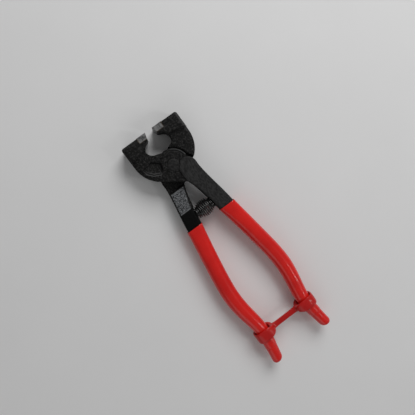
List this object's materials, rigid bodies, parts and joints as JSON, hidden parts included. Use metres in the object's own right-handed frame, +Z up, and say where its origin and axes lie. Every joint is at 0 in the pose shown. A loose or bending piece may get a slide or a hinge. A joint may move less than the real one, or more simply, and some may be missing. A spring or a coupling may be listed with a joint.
{
  "type": "mosaic glass nippers",
  "caption": "Hand nippers with two broad forged jaws, brazed carbide tips, a riveted lap joint, a barrel spring between the arms, dipped grips and a keeper strap.",
  "frame": {"origin": "middle of the tool's outline, on the ground plane that it lies on; the rivet axis is at Y = +64.75 mm and the lap plane at Z = 8.25 mm", "axes": "+Y along the tool towards the jaws, +X to the right seen from above, +Z up along the rivet axis"},
  "size_m": [0.0554, 0.1854, 0.0165],
  "materials": {
    "forged_steel": "black oxide over forged scale, matt, with a bare ground pad on the lower arm",
    "carbide": "ground tungsten carbide, fine grey satin",
    "braze": "dull brazed alloy",
    "rivet_steel": "blackened steel, slightly burnished",
    "spring_wire": "oil-tempered black spring wire, semi-gloss",
    "grip_vinyl": "glossy red dipped vinyl",
    "strap_vinyl": "soft red moulded vinyl, semi-gloss"
  },
  "bodies": {
    "lower_half": {"lower_half": "forged_steel", "right_carbide_tip": "carbide", "right_braze_shim": "braze", "left_spring_peg": "rivet_steel", "left_grip": "grip_vinyl", "pivot_rivet": "rivet_steel", "return_spring": "spring_wire", "keeper_strap": "strap_vinyl"},
    "upper_half": {"upper_half": "forged_steel", "left_carbide_tip": "carbide", "left_braze_shim": "braze", "right_spring_peg": "rivet_steel", "right_grip": "grip_vinyl"}
  },
  "joints": [
    {"name": "jaw_pivot", "type": "hinge", "parent": "lower_half", "child": "upper_half", "pos_m": [0, 0.06475, 0.00825], "axis": [0, 0, 1], "range_deg": [-10.4, 8], "stiffness_Nm_per_rad": 6, "deforming": ["return_spring", "keeper_strap"]}
  ]
}
